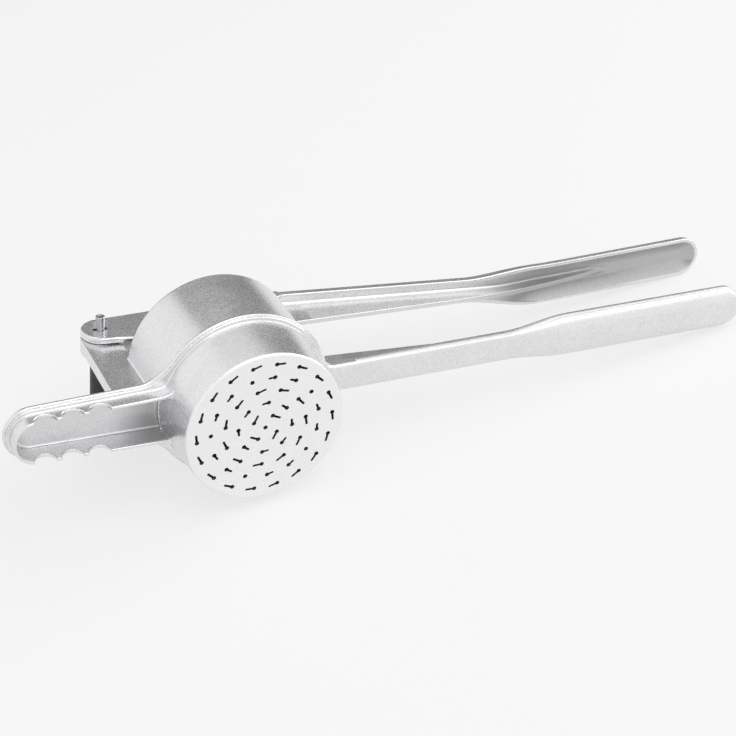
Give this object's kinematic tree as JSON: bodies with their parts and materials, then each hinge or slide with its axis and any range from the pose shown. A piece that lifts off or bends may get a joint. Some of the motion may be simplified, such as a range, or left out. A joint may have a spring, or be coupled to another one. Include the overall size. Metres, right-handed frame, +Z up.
{
  "type": "spaetzle maker",
  "caption": "Lever press for spaetzle in cast aluminium: a pot with a slotted sieve, a notched rest arm, a fixed handle and a forked lever that drives a plunger.",
  "frame": {"origin": "centre of the bounding box on the table that the tool lies on", "axes": "+X along the handles towards the grips, +Y along the pot's axis from the sieve to the mouth, +Z up"},
  "size_m": [0.4384, 0.116, 0.0948],
  "materials": {
    "cast_aluminium": "satin, fine tumbled grain",
    "pin_steel": "turned, bright",
    "knob_plastic": "fine matte grain"
  },
  "bodies": {
    "pot": {"pot_wall": "cast_aluminium", "sieve": "cast_aluminium", "rest_arm": "cast_aluminium", "hinge_bracket": "cast_aluminium", "handle": "cast_aluminium"},
    "lever": {"lever_fork": "cast_aluminium", "lever_arm": "cast_aluminium", "cross_pin": "pin_steel", "cross_pin_washer": "pin_steel"},
    "plunger": {"plunger_plate": "cast_aluminium", "plunger_stem": "cast_aluminium", "plunger_screw": "pin_steel"},
    "pin": {"hinge_pin": "pin_steel", "pin_knob": "knob_plastic"}
  },
  "joints": [
    {"name": "lever_hinge", "type": "hinge", "parent": "pot", "child": "lever", "pos_m": [-0.14572, 0.04755, 0.05337], "axis": [0.1152, 0, 0.9933], "range_deg": [0, 80]},
    {"name": "plunger_slide", "type": "slide", "parent": "pot", "child": "plunger", "axis": [0, 1, 0], "range_m": [0, 0.07636]},
    {"name": "pin_turn", "type": "hinge", "parent": "pot", "child": "pin", "pos_m": [-0.14572, 0.04755, 0.05337], "axis": [0.1152, 0, 0.9933], "range_deg": [0, 90]}
  ],
  "couplings": [
    {"joint": "plunger_slide", "follows": "lever_hinge", "m_per_rad": 0.054545}
  ]
}
